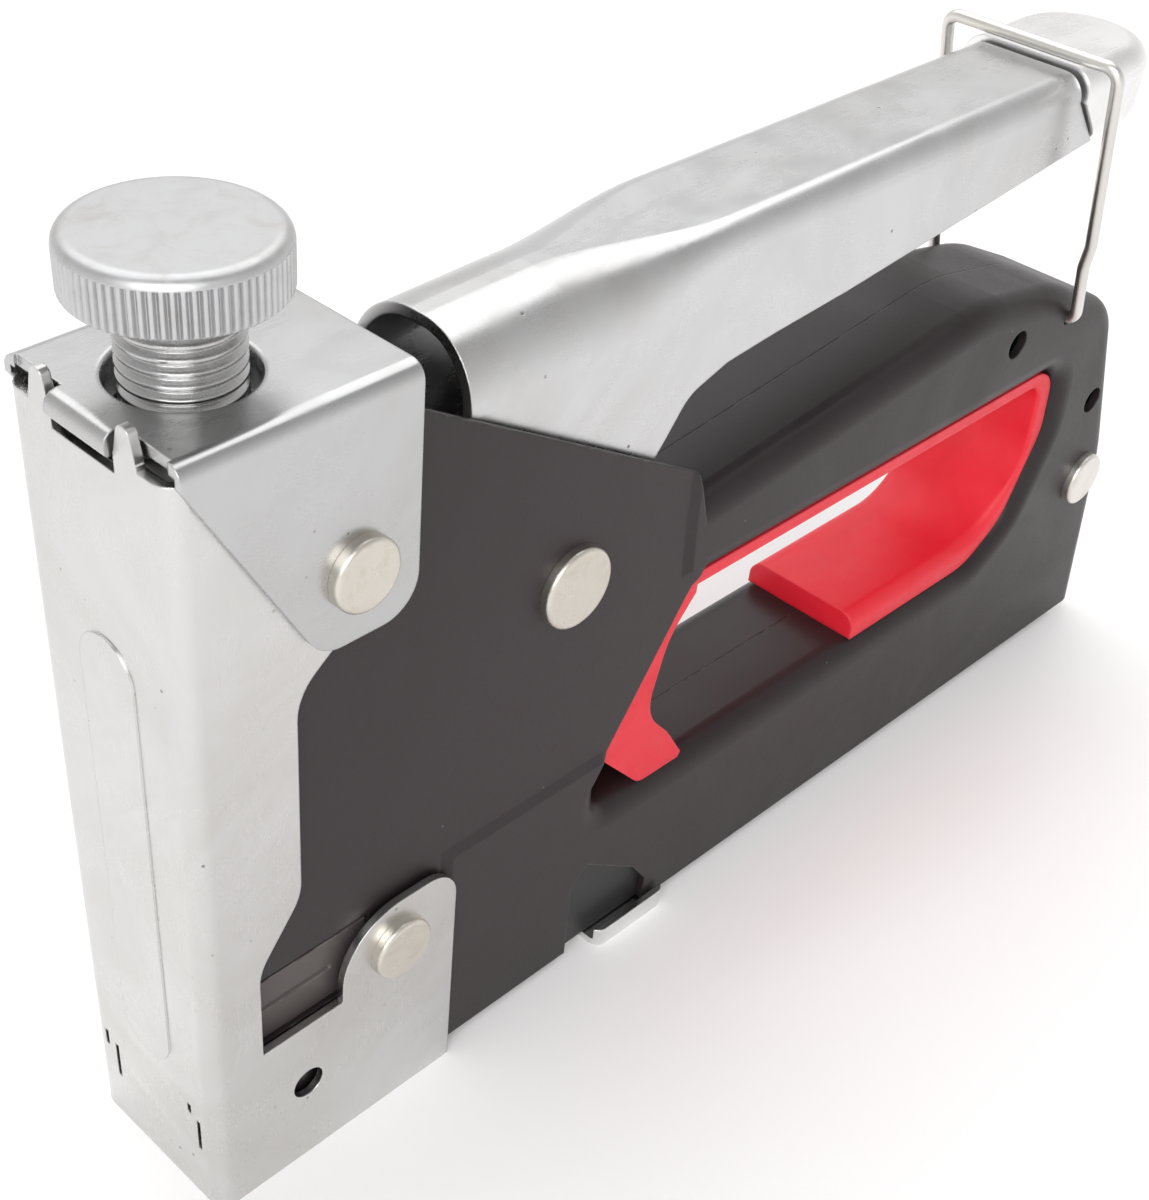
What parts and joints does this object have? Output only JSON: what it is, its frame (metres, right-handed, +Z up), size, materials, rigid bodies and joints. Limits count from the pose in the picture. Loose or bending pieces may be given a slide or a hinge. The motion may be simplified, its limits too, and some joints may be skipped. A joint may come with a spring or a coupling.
{
  "type": "staple gun",
  "caption": "Hand-squeezed staple gun with a folded metal body, chromed nose and lever, tension knob, locking wire bail and sliding staple rail.",
  "frame": {"origin": "centre of the bounding box in plan, on the plane of the sole", "axes": "+Z up, the nose points along -X, +Y is the right-hand side seen from the rear end looking to the nose"},
  "size_m": [0.1824, 0.0282, 0.1149],
  "materials": {
    "black_enamel": "semi-gloss black enamel",
    "chrome_cover": "bright chrome plate",
    "chrome_cap": "bright chrome plate",
    "chrome_knob": "satin chrome, knurled rim",
    "chrome_screw": "bright chrome thread",
    "chrome_lever": "bright chrome plate",
    "chrome_end": "bright chrome plate",
    "zinc_steel": "zinc-plated steel",
    "spring_steel": "oiled spring steel",
    "dark_steel": "hardened dark steel",
    "black_rubber": "matt rubber",
    "nickel_rivet": "nickel-plated, lightly brushed",
    "bail_wire": "nickel-plated wire",
    "dark_channel": "blackened steel",
    "nose_block_grey": "grey-brown oxide finish",
    "rail_steel": "bright plated steel",
    "red_plastic": "soft red plastic"
  },
  "bodies": {
    "frame_body": {"body_shell_left": "black_enamel", "body_shell_right": "black_enamel", "front_cover": "chrome_cover", "top_cap": "chrome_cap", "tension_nut": "zinc_steel", "plunger_bumper": "black_rubber", "pivot_rivet": "nickel_rivet", "cap_rivet": "nickel_rivet", "ear_rivet": "nickel_rivet", "rear_rivet": "nickel_rivet", "pivot_washers": "zinc_steel", "rear_spacer": "zinc_steel", "magazine_channel": "dark_channel", "nose_guide": "dark_steel", "nose_block": "nose_block_grey", "grip_lining": "red_plastic", "power_spring": "spring_steel"},
    "spring_seat_body": {"spring_seat": "zinc_steel"},
    "tension_knob_body": {"tension_knob": "chrome_knob", "tension_screw": "chrome_screw"},
    "handle_body": {"handle_lever": "chrome_lever", "handle_end_cap": "chrome_end", "lifting_arm": "dark_steel", "lever_pin": "nickel_rivet", "arm_spacers": "zinc_steel"},
    "plunger_body": {"plunger": "dark_steel", "driver_blade": "dark_steel"},
    "bail_body": {"locking_bail": "bail_wire"},
    "rail_body": {"magazine_rail": "rail_steel", "pusher_rod": "rail_steel", "pusher_spring": "spring_steel"},
    "pusher_body": {"pusher": "zinc_steel"}
  },
  "joints": [
    {"name": "handle_squeeze", "type": "hinge", "parent": "frame_body", "child": "handle_body", "pos_m": [-0.03759, 0, 0.0645], "axis": [0, 1, 0], "range_deg": [0, 11], "stiffness_Nm_per_rad": 3, "springref_deg": -2.29},
    {"name": "plunger_lift", "type": "slide", "parent": "frame_body", "child": "plunger_body", "axis": [0, 0, 1], "range_m": [0, 0.0074], "deforming": ["power_spring"]},
    {"name": "tension_travel", "type": "slide", "parent": "frame_body", "child": "spring_seat_body", "axis": [0, 0, -1], "range_m": [0, 0.004]},
    {"name": "tension_turn", "type": "hinge", "parent": "spring_seat_body", "child": "tension_knob_body", "pos_m": [-0.07976, 0, 0.0886], "axis": [0, 0, -1], "range_deg": [0, 1150]},
    {"name": "bail_swing", "type": "hinge", "parent": "frame_body", "child": "bail_body", "pos_m": [0.06041, 0, 0.0635], "axis": [0, 1, 0], "range_deg": [0, 105]},
    {"name": "magazine_slide", "type": "slide", "parent": "frame_body", "child": "rail_body", "axis": [1, 0, 0], "range_m": [0, 0.115]},
    {"name": "pusher_slide", "type": "slide", "parent": "rail_body", "child": "pusher_body", "axis": [1, 0, 0], "range_m": [0, 0.085], "stiffness_N_per_m": 20, "springref_m": -0.005, "deforming": ["pusher_spring"]}
  ],
  "couplings": [
    {"joint": "plunger_lift", "follows": "handle_squeeze", "m_per_rad": 0.0378},
    {"joint": "tension_travel", "follows": "tension_turn", "m_per_rad": 0.00019894}
  ]
}
